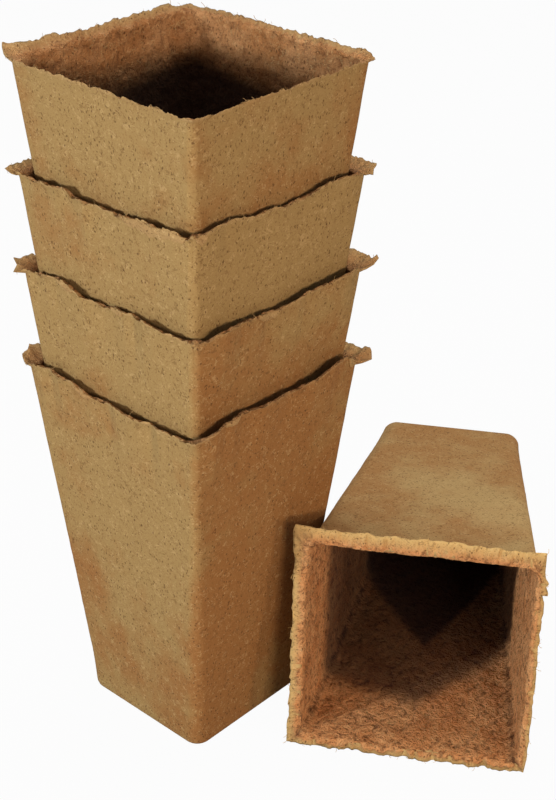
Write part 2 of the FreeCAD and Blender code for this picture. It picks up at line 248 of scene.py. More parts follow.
# The sides that show their bends, to the nearest half millimetre: each pot's right side, from the front
# corner, and its left side, to the front corner.
BENT_SIDES = {
    "bottom_pot": (
        ((0, 0.5, 2), (3, 1, 2.5), (9, 4, 5.5), (15, 2.5, 6.5), (20, 3, 6.5), (26, 1, 6.5), (32, 1, 5.5),
         (38, 3, 5.5), (44, 3, 5.5), (53, 1.5, 4.5), (61, 2.5, 5), (68, 4, 5.5), (79, 4.5, 8),
         (85, 2.5, 7.5), (91, 1.5, 6.5), (96, 0, 3)),
        ((0, 0, 0.5), (3, 0.5, 1.5), (9, 2, 4.5), (15, 0.5, 4), (21, 2, 4), (27, 1, 3.5), (38, 1, 1),
         (44, 0.5, 1), (50, -0.5, 0.5), (56, 2, 2), (62, 2, 1), (68, 1, 0.5), (74, -1, 0.5),
         (80, 1.5, 1.5), (92, 0.5, 1.5))),
    "second_pot": (
        ((0, -0.5, 2), (3, 0.5, 2), (8, 2, 2.5), (14, 4, 4.5), (19, 3.5, 4), (25, 1.5, 3.5),
         (36, 1.5, 2.5), (41, 0, 1), (47, 1, 0.5), (58, 2, 1.5), (63, 1.5, 2.5), (69, 2.5, 3),
         (85, 3.5, 3.5), (90, 3, 3.5), (96, 0.5, 2)),
        ((0, 0, 0.5), (3, 0, 1.5), (9, -0.5, 3), (14, 0, 3), (20, -0.5, 4), (26, 0.5, 4.5), (32, 1, 3.5),
         (38, 1, 1.5), (43, 0, 1), (49, -1, 1), (55, -1, 2), (61, 0, 2), (66, -1, 2.5), (72, 1.5, 3.5),
         (78, 2, 3), (84, 1.5, 2.5), (95, 0, 1.5))),
    "third_pot": (
        ((0, -0.5, 2.5), (8, 0.5, 2.5), (13, 0.5, 3.5), (18, -0.5, 3), (24, 0, 3), (34, -0.5, 0.5),
         (43, -0.5, 1), (49, -0.5, 0), (60, -0.5, 0.5), (71, 0.5, 2), (76, 1, 3), (91, 1, 2),
         (96, 0.5, 1.5)),
        ((0, 0, 0.5), (4, 0, 1), (12, 1, 1), (18, 1, 1.5), (25, 1.5, 2), (31, 1, 2.5), (35, 1, 1),
         (41, 2, 1), (46, 0, 0), (62, 0, 0), (73, 0.5, 2), (78, 1, 1.5), (89, 1, 2.5), (95, 0, 1.5))),
}

# Torn strips of lip pressed down on a front wall: the pot, the strip's ends along the rim from the
# front corner, and how far down it reaches.
LIP_STRIPS = (
    ("third_pot", 362.0, 396.0, 4.2),
    ("third_pot", 1.5, 7.5, 3.2),
    ("second_pot", 322.0, 333.0, 2.6),
    ("second_pot", 34.0, 47.0, 3.0),
    ("second_pot", 353.0, 361.0, 1.8),
    ("bottom_pot", 330.0, 341.0, 2.0),
    ("bottom_pot", 91.0, 98.0, 3.6),
    ("bottom_pot", 14.0, 24.0, 2.2),
)

# A strip: how far apart its points stand along the rim, how far below the rim it begins and how far it
# reaches down at its ends, how thick its ends are, how much thicker its middle is, and how far it
# bulges there. Then, how far its upper and lower edges are sunk into the wall.
STRIP_STEP = 0.8
STRIP_BELOW_RIM, STRIP_END_DROP = 0.7, 0.3
STRIP_END_THICKNESS, STRIP_THICKENING, STRIP_BULGE = 0.25, 0.45, 0.35
STRIP_SUNK_ABOVE, STRIP_SUNK_BELOW = 0.4, 0.3

# How far apart the points of a torn side stand, how unevenly, as a share of that, and by how much they
# differ in overhang and in lift.
TEAR_STEP = 2.4
TEAR_UNEVENNESS = 0.3
TEAR_DEPTH = 0.45
TEAR_LIFT = 0.35

# The soft lights: the compass direction and the height above the floor, in degrees, then the distance,
# the width and the height, in metres, the power in watts, and the tint.
COOL, WARM, WHITE = (0.95, 1.0, 1.03), (1.10, 0.92, 0.76), (1.0, 1.0, 1.0)
SOFT_LIGHTS = {
    "left_box": (166, 15, 1.3, 0.09, 0.09, 7.4, COOL),
    "left_glow": (181, 13, 1.3, 0.20, 0.12, 2.4, COOL),
    "right_box": (268, 15, 1.3, 0.09, 0.09, 2.3, WARM),
    "right_glow": (240, 15, 1.3, 0.40, 0.10, 6.1, WARM),
    "top_box": (30, 78, 1.4, 0.8, 0.8, 13.0, WHITE),
}
LIGHTS_AIM = (0.04, -0.03, 0.14)

# How strongly the white all round lights the pots. How grey the floor is to the lamps, which share of
# what is seen of it is plain white, how far it reaches, and how far it lies under the pots, in metres.
AIR_STRENGTH = 0.15
FLOOR_GREY = (0.4, 0.4, 0.4, 1.0)
FLOOR_WHITE_SHARE = 0.965
FLOOR_REACH, FLOOR_GAP = 6.0, 0.0002

# The pulp's colours, as on a screen, from 0 to 255, and the painted shade and highlight marked below. The
# lying pot's are the fresh ones.
PULP_COLOURS = {
    "orange": (156, 108, 61),
    "khaki": (166, 134, 84),
    "fresh orange": (172, 126, 76),
    "fresh khaki": (188, 155, 102),
    "hollow brown": (171, 116, 69),
    "hollow tan": (195, 143, 95),
    "fresh hollow brown": (212, 143, 88),
    "fresh hollow tan": (230, 170, 114),
    # Painted shade in the hollows of the cavity's relief, then painted highlight on its knobs.
    "pit shade": (92, 50, 30),
    "knob highlight": (226, 176, 124),
    "torn": (188, 150, 102),
    "fresh torn": (216, 178, 114),
    # Dark fibres, and the painted shade in the felt's hollows; then the painted highlight on its tops.
    "brown fibre and felt shade": (104, 68, 38),
    "felt top highlight": (206, 172, 118),
    "pale fibre": (212, 178, 124),
    "bark fleck": (84, 52, 28),
    "pale fleck": (214, 182, 128),
    # The painted shade in the corners of the lying pot's cavity.
    "corner_shade": (60, 30, 22),
    # The painted shade deep in the cavities and in the gaps between nested pots.
    "dark": (33, 14, 7),
    "fresh dark": (30, 17, 22),
}


class Line:
    """A value on its way through a node tree. Sums and products of values add their Math nodes."""

    def __init__(self, graph, socket):
        self.graph = graph
        self.socket = socket

    def math(self, operation, *others):
        return self.graph.node("ShaderNodeMath", {"operation": operation}, dict(enumerate((self, *others))))

    def __add__(self, other):
        return self.math("ADD", other)

    def __sub__(self, other):
        return self.math("SUBTRACT", other)

    def __mul__(self, other):
        return self.math("MULTIPLY", other)

    def __truediv__(self, other):
        return self.math("DIVIDE", other)

    def __rsub__(self, other):
        return self.graph.node("ShaderNodeMath", {"operation": "SUBTRACT"}, {0: other, 1: self})

    __radd__ = __add__
    __rmul__ = __mul__

    def limited(self):
        """The value kept from 0 to 1."""
        return self.graph.node("ShaderNodeClamp", {}, {0: self})

    def ramp(self, low, high):
        """A rounded step from 0 to 1, between two levels of the value."""
        return self.graph.node("ShaderNodeMapRange", {"interpolation_type": "SMOOTHSTEP"},
                               {"Value": self, "From Min": low, "From Max": high})


class Graph:
    """The nodes of one tree."""

    def __init__(self, tree):
        self.tree = tree

    def node(self, kind, settings, inputs, output=0):
        """A new node, with its settings and the values or links of its sockets. Gives one output."""
        made = self.tree.nodes.new(kind)
        for name, value in settings.items():
            setattr(made, name, value)
        for key, value in inputs.items():
            socket = made.inputs[key]
            if isinstance(value, Line):
                self.tree.links.new(value.socket, socket)
            else:
                socket.default_value = value
        return Line(self, made.outputs[output])

    def vector(self, operation, *values):
        return self.node("ShaderNodeVectorMath", {"operation": operation}, dict(enumerate(values)))

    def parts(self, vector):
        split = self.node("ShaderNodeSeparateXYZ", {}, {0: vector}).socket.node
        return [Line(self, socket) for socket in split.outputs]

    def joined(self, x, y, z):
        return self.node("ShaderNodeCombineXYZ", {}, {0: x, 1: y, 2: z})

    def mixed(self, share, first, second):
        """One colour or the other, by a share."""
        return self.node("ShaderNodeMix", {"data_type": "RGBA"}, {0: share, 6: first, 7: second}, 2)

    def noise(self, place, scale, detail=2.0, roughness=0.5, distortion=0.0, output=0):
        return self.node("ShaderNodeTexNoise", {}, {
            "Vector": place, "Scale": scale, "Detail": detail, "Roughness": roughness,
            "Distortion": distortion}, output)

    def stored(self, geometry, name, value):
        """The geometry with a value kept on its points, under a name."""
        return self.node("GeometryNodeStoreNamedAttribute", {"data_type": "FLOAT", "domain": "POINT"},
                         {"Geometry": geometry, "Name": name, "Value": value})


def torn_points(pot, seed):
    """The torn edge of a rim round the pot: its place along the rim, then x, y and lift, in mm."""
    draw = np.random.default_rng(seed)
    half = RIM_WIDTH / 2
    rows = RIMS[pot]
    points = []
    for side, ((run, out), (overhang, lift, ear)) in enumerate(zip(SIDE_WAYS, rows)):
        ear_before = rows[side - 1][2]
        start, end = ear_before[-1][0] + TEAR_STEP, RIM_WIDTH + ear[0][0] - TEAR_STEP
        count = int((end - start) / TEAR_STEP)
        shifts = draw.uniform(-TEAR_UNEVENNESS, TEAR_UNEVENNESS, count) * TEAR_STEP
        for along in np.linspace(start, end, count) + shifts:
            beyond = max(overhang + TEAR_DEPTH * draw.uniform(-1, 1), 0)
            raised = lift + TEAR_LIFT * draw.uniform(-1, 1)
            x, y = (run[axis] * (along - half) + out[axis] * (half + beyond) for axis in (0, 1))
            points.append((side * RIM_WIDTH + along, x, y, raised))
        for along, beyond_next, beyond_this, raised in ear:
            x, y = (run[axis] * (half + beyond_next) + out[axis] * (half + beyond_this) for axis in (0, 1))
            points.append(((side + 1) * RIM_WIDTH + along, x, y, raised))
    return np.array(sorted(points))


def rim_bend(pot, alongs):
    """How far the wall bows out, and how far the rim stands up, at places along a pot's rim."""
    right_side, left_side = BENT_SIDES.get(pot, (PLAIN_SIDE, PLAIN_SIDE))
    bends = np.array([(side * RIM_WIDTH + along, bow, stand)
                      for side, points in enumerate((right_side, PLAIN_SIDE, PLAIN_SIDE, left_side))
                      for along, bow, stand in points])
    return [np.interp(alongs, bends[:, 0], bends[:, column], period=4 * RIM_WIDTH) for column in (1, 2)]


def rim_loop(pot, seed):
    """A closed square line, from -1 to 1, that the moulding tree follows round the pot. Each of its
    points holds the place of the rim's torn edge there, and how the rim bends."""
    side = np.linspace(-1, 1, SIDE_COLUMNS, endpoint=False)
    across = (1 - CORNER_CROWDING) * side + CORNER_CROWDING * np.sin(side * math.pi / 2)
    spots, alongs = [], []
    for index, (run, out) in enumerate(SIDE_WAYS):
        spots += [(run[0] * a + out[0], run[1] * a + out[1], 0) for a in across]
        alongs += [(index + (1 + a) / 2) * RIM_WIDTH for a in across]
    torn = torn_points(pot, seed)
    edge = np.stack([np.interp(alongs, torn[:, 0], torn[:, axis], period=4 * RIM_WIDTH)
                     for axis in (1, 2, 3)], -1)
    bow, stand = rim_bend(pot, alongs)
    count = len(spots)
    mesh = bpy.data.meshes.new(pot + "_rim_loop")
    mesh.from_pydata(spots, [(i, (i + 1) % count) for i in range(count)], [])
    attribute = mesh.attributes.new("torn_edge", "FLOAT_VECTOR", "POINT")
    attribute.data.foreach_set("vector", (edge * MM).astype(np.float32).ravel())
    for name, values in (("bow", bow), ("stand", stand)):
        attribute = mesh.attributes.new(name, "FLOAT", "POINT")
        attribute.data.foreach_set("value", (values * MM).astype(np.float32))
    return mesh


def shell_stations(size):
    """The stations that a pot's shell passes: rows up to it, half width, corner radius, height, share
    towards the torn edge, relief, raggedness, and whether it is inside."""
    rim = size["Rim Width"] * 0.5
    base = size["Base Width"] * 0.5
    foot = base + size["Foot Flare"]
    top = size["Pot Height"]
    mouth = rim - size["Rim Wall"]
    seat = size["Seat Width"] * 0.5
    flare, drop = size["Mouth Flare"], size["Mouth Drop"]
    edge = size["Base Edge"]
    floor = size["Floor Thickness"]
    fillet = size["Floor Fillet"]
    floor_half = base - size["Base Wall"]
    rim_corner, base_corner = size["Rim Corner"], size["Base Corner"]
    mouth_corner, cavity_corner = size["Mouth Corner"], size["Cavity Corner"]
    halfway_corner = mouth_corner * 0.5 + rim_corner * 0.5
    lip, torn = size["Lip Thickness"], size["Torn Thickness"]
    outer, inner = size["Outer Relief"] * -1.0, size["Inner Relief"]
    ragged = size["Rim Raggedness"]
    under_lip = rim - lip * ((rim - foot) / (top - size["Foot Height"]))
    return (
        # The base, and two rows on the quarter circle of its edge.
        (0, 0.0, 0.0, 0.0, 0.0, 0.0, 0.0, 0.0),
        (5, base - edge * 1.3, base_corner - edge * 1.3, 0.0, 0.0, 0.0, 0.0, 0.0),
        (1, base - edge * 0.5, base_corner - edge * 0.5, edge * 0.134, 0.0, 0.0, 0.0, 0.0),
        (1, base - edge * 0.134, base_corner - edge * 0.134, edge * 0.5, 0.0, 0.0, 0.0, 0.0),
        # The foot and the wall.
        (1, base + size["Foot Flare"] * 0.1, base_corner, edge, 0.0, outer, 0.0, 0.0),
        (8, foot, base_corner, size["Foot Height"], 0.0, outer, 0.0, 0.0),
        (34, under_lip, rim_corner, top - lip, 0.0, outer, 0.0, 0.0),
        # The torn edge of the lip.
        (3, rim, rim_corner, top - torn, 1.0, 0.0, ragged * 0.6, 0.0),
        (1, rim, rim_corner, top - torn * 0.5, 1.02, 0.0, ragged * 0.8, 0.0),
        (1, rim, rim_corner, top, 1.0, 0.0, ragged, 0.0),
        # The mouth.
        (4, mouth + flare, halfway_corner, top - drop * 0.10, 0.0, 0.0, ragged, 1.0),
        (2, mouth + flare * 0.3, mouth_corner, top - drop * 0.35, 0.0, inner * 0.5, ragged * 0.7, 1.0),
        (2, mouth, mouth_corner, top - drop, 0.0, inner, ragged * 0.3, 1.0),
        # The cavity, the round foot of its wall, and the floor.
        (44, seat, cavity_corner, size["Seat Height"], 0.0, inner, 0.0, 1.0),
        (10, floor_half + fillet * 0.07, cavity_corner, floor + fillet, 0.0, inner, 0.0, 1.0),
        (1, floor_half - fillet * 0.2, cavity_corner - fillet * 0.2, floor + fillet * 0.3, 0.0, inner,
         0.0, 1.0),
        (1, floor_half - fillet, cavity_corner - fillet, floor, 0.0, 0.0, 0.0, 1.0),
        (5, 0.0, 0.0, floor, 0.0, 0.0, 0.0, 1.0),
    )


def loose_strands(graph, shell, size):
    """Strands of wood fibre that stand out of the shell's torn edge, each a bent thread."""
    torn = graph.node("GeometryNodeInputNamedAttribute", {"data_type": "FLOAT"}, {"Name": "torn"})
    points = graph.node("GeometryNodeDistributePointsOnFaces", {}, {
        "Mesh": shell, "Density": size["Strand Density"],
        "Selection": torn.math("GREATER_THAN", STRANDS_FROM)})
    length, thick = size["Strand Length"], size["Strand Thickness"]
    bend = graph.node("GeometryNodeCurveQuadraticBezier", {}, {
        "Resolution": 5, "Start": (0, 0, 0), "Middle": graph.joined(0.0, 0.0, length * 0.6),
        "End": graph.joined(length * 0.55, 0.0, length * 0.8)})
    ring = graph.node("GeometryNodeCurvePrimitiveCircle", {}, {"Resolution": 5, "Radius": thick * 0.5})
    strand = graph.node("GeometryNodeCurveToMesh", {}, {
        "Curve": bend, "Profile Curve": ring, "Fill Caps": True})
    turns = graph.node("FunctionNodeRandomValue", {"data_type": "FLOAT_VECTOR"},
                       {0: (-1.5, -1.5, -3.1), 1: (1.5, 1.5, 3.1), "Seed": 3})
    lengths = graph.node("FunctionNodeRandomValue", {"data_type": "FLOAT"}, {2: 0.25, 3: 1.3, "Seed": 4}, 1)
    strands = graph.node("GeometryNodeInstanceOnPoints", {}, {
        "Points": points, "Instance": strand, "Rotation": turns, "Scale": lengths})
    return graph.stored(graph.node("GeometryNodeRealizeInstances", {}, {"Geometry": strands}),
                        "torn", STRAND_TORN)


def moulding_tree():
    """Moulds a pot's whole shell, wall, rim, cavity and floor, round the loop that comes in. Row by row
    the shell goes out from the middle of the base, up the wall, over the torn rim, and down the
    cavity to the middle of the floor. Every row is a square with round corners."""
    tree = bpy.data.node_groups.new("moulded_pot", "GeometryNodeTree")
    graph = Graph(tree)

    def taken(name, kind):
        return tree.interface.new_socket(name, in_out="INPUT", socket_type="NodeSocket" + kind)

    taken("Rim Loop", "Geometry")
    for name, length in POT_SIZES.items():
        taken(name, "Float").default_value = length * MM
    for name in ("Seed", "Strand Density", "Freshness", "Left Side Light", "Right Side Light"):
        taken(name, "Float")
    taken("Pulp", "Material")
    tree.interface.new_socket("Pot", in_out="OUTPUT", socket_type="NodeSocketGeometry")
    group = tree.nodes.new("NodeGroupInput")
    size = {socket.name: Line(graph, socket) for socket in group.outputs if socket.name}

    stations = shell_stations(size)
    rows = 1 + sum(station[0] for station in stations)
    columns = 4 * SIDE_COLUMNS
    grid = graph.node("GeometryNodeMeshGrid", {}, {"Vertices X": columns + 1, "Vertices Y": rows})
    index = graph.node("GeometryNodeInputIndex", {}, {})
    column = ((index + 0.5) / float(rows)).math("FLOOR")
    row = index - column * float(rows)
    around = column.math("MODULO", float(columns))

    shares = []
    reached = 0
    for count, *_ in stations[1:]:
        shares.append(((row - float(reached)) / float(count)).limited())
        reached += count

    def profile(which):
        """What the stations say of a row, evenly from each to the next."""
        total = stations[0][which]
        for share, before, after in zip(shares, stations, stations[1:]):
            step = after[which] - before[which]
            if step != 0:
                total = share * step + total
        return total

    half, corner, height, reach, relief, raggedness, inside = (profile(which) for which in range(1, 8))

    def sampled(value, kind="FLOAT_VECTOR"):
        """What a value is on the loop, in each column."""
        return graph.node("GeometryNodeSampleIndex", {"data_type": kind, "domain": "POINT"},
                          {"Geometry": size["Rim Loop"], "Value": value, "Index": around})

    def held(name, kind="FLOAT"):
        """What the loop's points hold under a name, in each column."""
        value = graph.node("GeometryNodeInputNamedAttribute", {"data_type": kind}, {"Name": name})
        return sampled(value, kind)

    place = sampled(graph.node("GeometryNodeInputPosition", {}, {}))
    edge_x, edge_y, edge_lift = graph.parts(held("torn_edge", "FLOAT_VECTOR"))

    # A point on the square is pulled in by the corner radius and pushed out again by it, straight at a
    # side and round at a corner.
    corner = corner.math("MINIMUM", half)
    flat = half - corner
    spot = graph.vector("MULTIPLY", place, graph.joined(half, half, 0.0))
    furthest = graph.joined(flat, flat, 0.0)
    nearest = graph.vector("MULTIPLY", furthest, (-1, -1, 0))
    middle = graph.vector("MAXIMUM", graph.vector("MINIMUM", spot, furthest), nearest)
    facing = graph.vector("NORMALIZE", graph.vector("SUBTRACT", spot, middle))
    outwards = graph.vector("MULTIPLY", facing, graph.joined(corner, corner, 0.0))
    wall_x, wall_y, _ = graph.parts(graph.vector("ADD", middle, outwards))
    face_x, face_y, _ = graph.parts(facing)

    # Felted relief on the walls, ridges in the open cavities, and bites out of the torn edge.
    top = size["Pot Height"]
    deeper = height + size["Seed"]
    felt_place = graph.joined(wall_x, wall_y, deeper)
    ridge_place = graph.joined(wall_x * 170.0, wall_y * 170.0, deeper * 620.0)
    lumps = graph.noise(felt_place, 55.0) * 0.6 + graph.noise(felt_place, 300.0, 3.0) * 0.4
    ridges = graph.noise(ridge_place, 1.0, distortion=0.6)
    tears = graph.noise(felt_place, 420.0)
    bites = graph.noise(felt_place, 150.0, 1.0)
    sunk = relief * lumps.ramp(0.35, 0.65) + size["Ridge Relief"] * inside * ridges.ramp(0.38, 0.62)
    torn_off = raggedness * (tears.ramp(0.35, 0.65) - 0.7 - bites.ramp(0.54, 0.62) * 1.2)
    bent = height.ramp(top - size["Bowed Height"], top)
    pushed = sunk + held("bow") * bent + torn_off * 0.8 * (1.0 - reach)

    x = wall_x + (edge_x - wall_x) * reach + face_x * pushed
    y = wall_y + (edge_y - wall_y) * reach + face_y * pushed
    z = height + edge_lift * reach.math("POWER", 1.4) + torn_off + held("stand") * bent
    shell = graph.node("GeometryNodeSetPosition", {}, {
        "Geometry": grid, "Position": graph.joined(x, y, z)})

    # Painted shade: the cavity's colour is darkened by depth below the rim, as light reaches less deep in
    # the middle of a side than by the walls beside it, so the cavity is painted shaded first and dark
    # further in.
    across, along, _ = graph.parts(place)
    square_x, square_y, _ = graph.parts(graph.vector("ABSOLUTE", place))
    depth = top - height
    dark_depth = (depth - square_x * size["Dark Spread"] - across * size["Dark Slant"]
                  - along * size["Dark Lean"])
    shade_depth = depth - square_x * size["Shade Spread"] - across * size["Shade Slant"]
    dark = dark_depth.ramp(size["Dark From"], size["Dark By"])
    shade = shade_depth.ramp(size["Shade From"], size["Shade By"])
    # Painted light: the sides facing left and right are painted paler or more orange for the lamps on them;
    # the colour is also less khaki towards the base.
    faces_left, faces_right = (face_x * -1.0).limited(), (face_y * -1.0).limited()
    kept = {
        "inside": inside,
        "torn": reach,
        "dark": inside * dark.math("MAXIMUM", shade * SHADE_STRENGTH),
        "corner": square_x.math("MINIMUM", square_y),
        "freshness": size["Freshness"],
        "painted_side_light_and_base_tone": (size["Left Side Light"] * faces_left + size["Right Side Light"] * faces_right
                    - (1.0 - height / top) * BASE_TONE_SHIFT),
    }
    for name, value in kept.items():
        shell = graph.stored(shell, name, value)
    closed = graph.node("GeometryNodeMergeByDistance", {}, {
        "Geometry": shell, "Distance": SAME_POINT})

    both = tree.nodes.new("GeometryNodeJoinGeometry")
    for piece in (closed, loose_strands(graph, closed, size)):
        tree.links.new(piece.socket, both.inputs[0])
    smooth = graph.node("GeometryNodeSetShadeSmooth", {}, {
        "Geometry": Line(graph, both.outputs[0]), "Shade Smooth": True})
    solid = graph.node("GeometryNodeRealizeInstances", {}, {"Geometry": smooth})
    painted = graph.node("GeometryNodeSetMaterial", {}, {"Geometry": solid, "Material": size["Pulp"]})
    end = tree.nodes.new("NodeGroupOutput")
    tree.links.new(painted.socket, end.inputs[0])
    return tree


def set_inputs(modifier, values):
    """Gives a modifier's tree its named inputs."""
    sockets = {item.name: item.identifier for item in modifier.node_group.interface.items_tree
               if item.in_out == "INPUT"}
    for name, value in values.items():
        modifier[sockets[name]] = value


def moulded_pot(pot, tree, pulp, seed, place, freshness=0.0):
    """One pot's shell as a plain mesh, in its place."""
    maker = bpy.data.objects.new(pot + "_maker", rim_loop(pot, seed))
    bpy.context.scene.collection.objects.link(maker)
    modifier = maker.modifiers.new("moulding", "NODES")
    modifier.node_group = tree
    sizes = {**POT_SIZES, **OPEN_CAVITIES.get(pot, {})}
    set_inputs(modifier, {name: size * MM for name, size in sizes.items()})
    left_side_light, right_side_light = PAINTED_SIDE_LIGHT[pot]
    set_inputs(modifier, {"Seed": seed * NOISE_SHIFT, "Strand Density": STRAND_DENSITY,
                          "Freshness": freshness, "Left Side Light": left_side_light,
                          "Right Side Light": right_side_light, "Pulp": pulp})
    shaped = maker.evaluated_get(bpy.context.evaluated_depsgraph_get())
    mesh = bpy.data.meshes.new_from_object(shaped)
    bpy.data.objects.remove(maker)
    mesh.transform(place)
    # The lying pot's lip is pressed flat where it rests on the ground.
    spots = np.empty(len(mesh.vertices) * 3, np.float32)
    mesh.vertices.foreach_get("co", spots)
    heights = spots[2::3]
    heights[heights < 0] *= PRESSED_SHARE
    mesh.vertices.foreach_set("co", spots)
    shell = bpy.data.objects.new(pot + "_shell", mesh)
    bpy.context.scene.collection.objects.link(shell)
    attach(shell, pot)
    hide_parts(pot)


def lip_strip(pot, pulp, start, end, drop, seed):
    """A torn strip of lip that was pressed down on a side's wall, from start to end along the rim."""
    draw = np.random.default_rng(seed)
    half = RIM_WIDTH / 2
    side = int(start // RIM_WIDTH)
    run, out = SIDE_WAYS[side]
    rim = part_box(pot)[0].z + (POT_HEIGHT - STRIP_BELOW_RIM) * MM
    count = max(int((end - start) / STRIP_STEP), 4)
    verts, faces = [], []
    alongs = np.linspace(start, end, count)
    for i, (along, bow, stand) in enumerate(zip(alongs, *rim_bend(pot, alongs))):
        taper = math.sin(math.pi * i / (count - 1)) ** 0.4
        low = drop * taper * (1 + draw.uniform(-0.22, 0.12)) + STRIP_END_DROP
        thick = STRIP_END_THICKNESS + STRIP_THICKENING * taper
        bulge = STRIP_BULGE * draw.uniform(0.4, 1.0) * taper
        outline = ((0.0, -STRIP_SUNK_ABOVE), (0.0, thick * 0.5), (low * 0.5, thick + bulge),
                   (low, thick * 0.6), (low, -STRIP_SUNK_BELOW))
        for down, off in outline:
            # The bend of the rim dies away down the wall.
            bent = 1 - 3 * (down / BOWED_HEIGHT) ** 2
            across, reach = along - side * RIM_WIDTH - half, half - down * WALL_LEAN + off + bow * bent
            x, y = (run[axis] * across + out[axis] * reach for axis in (0, 1))
            verts.append((x * MM, y * MM, rim + (stand * bent - down) * MM))
    ring = len(outline)
    for i in range(count - 1):
        for k in range(ring):
            a, b = i * ring + k, i * ring + (k + 1) % ring
            faces.append((a, b, b + ring, a + ring))
    faces += [tuple(reversed(range(ring))), tuple((count - 1) * ring + k for k in range(ring))]
    mesh = bpy.data.meshes.new("%s_lip_strip_%d" % (pot, seed + 1))
    mesh.from_pydata(verts, [], faces)
    torn = mesh.attributes.new("torn", "FLOAT", "POINT")
    torn.data.foreach_set("value", [STRIP_TORN] * len(verts))
    mesh.materials.append(pulp)
    strip = bpy.data.objects.new(mesh.name, mesh)
    bpy.context.scene.collection.objects.link(strip)
    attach(strip, pot)


def lying_place():
    """How the lying pot is turned, and where the middle of its base is: in the middle of the flat end
    of its solid."""
    turned = (Matrix.Rotation(math.radians(-LYING_TURN), 4, "Z")
              @ Matrix.Rotation(math.radians(90) - LYING_TILT, 4, "X"))
    upright = turned.inverted()
    spots = np.array([upright @ vertex.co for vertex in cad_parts[LYING].data.vertices])
    base = spots[spots[:, 2] < spots[:, 2].min() + 0.001 * MM]
    middle = (base.min(axis=0) + base.max(axis=0)) / 2
    return turned @ Matrix.Translation(middle)


def rgba(red, green, blue):
    """A colour of the screen, 0 to 255, as light."""
    shares = [channel / 255 for channel in (red, green, blue)]
    return (*(((share + 0.055) / 1.055) ** 2.4 if share > 0.04 else share / 12.92 for share in shares), 1.0)


